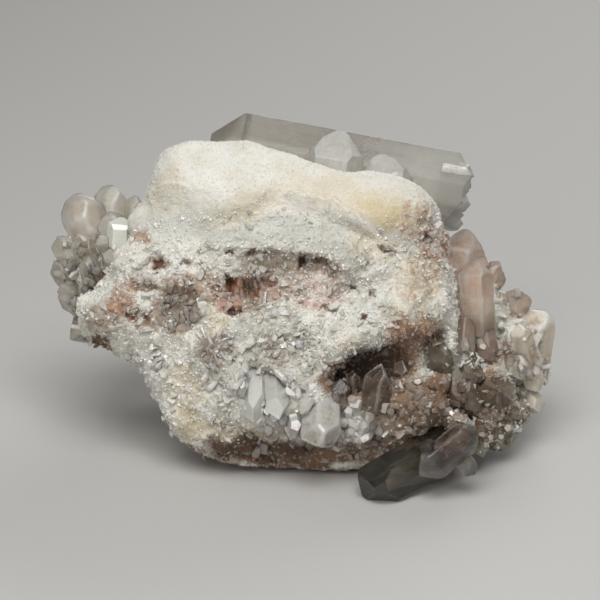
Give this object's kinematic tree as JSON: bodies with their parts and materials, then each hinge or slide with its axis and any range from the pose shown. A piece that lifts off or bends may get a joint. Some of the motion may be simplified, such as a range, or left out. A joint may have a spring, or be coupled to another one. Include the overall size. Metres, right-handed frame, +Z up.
{
  "type": "quartz crystal cluster",
  "caption": "Milky massive quartz lump with clear quartz prisms and points grown on its sides, in a hollow of its front and over its rear; stands on its flat broken foot.",
  "frame": {"origin": "under the middle of the whole cluster, on the ground it stands on", "axes": "+Z up, +X to the viewer's right along the cluster's long side, -Y towards the viewer of the broken front"},
  "size_m": [0.1188, 0.094, 0.0717],
  "materials": {
    "milky_quartz": "matte",
    "clear_quartz": "gloss",
    "rosy_quartz": "gloss",
    "smoky_quartz": "gloss"
  },
  "bodies": {
    "root": {"bottom_prism": "smoky_quartz", "face_point_large": "clear_quartz", "face_point_left": "clear_quartz", "face_point_middle": "clear_quartz", "hollow_crust": "clear_quartz", "hooded_crystal": "clear_quartz", "large_prism": "clear_quartz", "left_cluster": "clear_quartz", "left_rear_cluster": "clear_quartz", "lower_rear_cluster": "clear_quartz", "lower_right_cluster": "smoky_quartz", "matrix": "milky_quartz", "right_block": "milky_quartz", "right_cluster": "rosy_quartz", "right_rear_cluster": "clear_quartz", "upper_rear_cluster": "clear_quartz"}
  },
  "joints": []
}
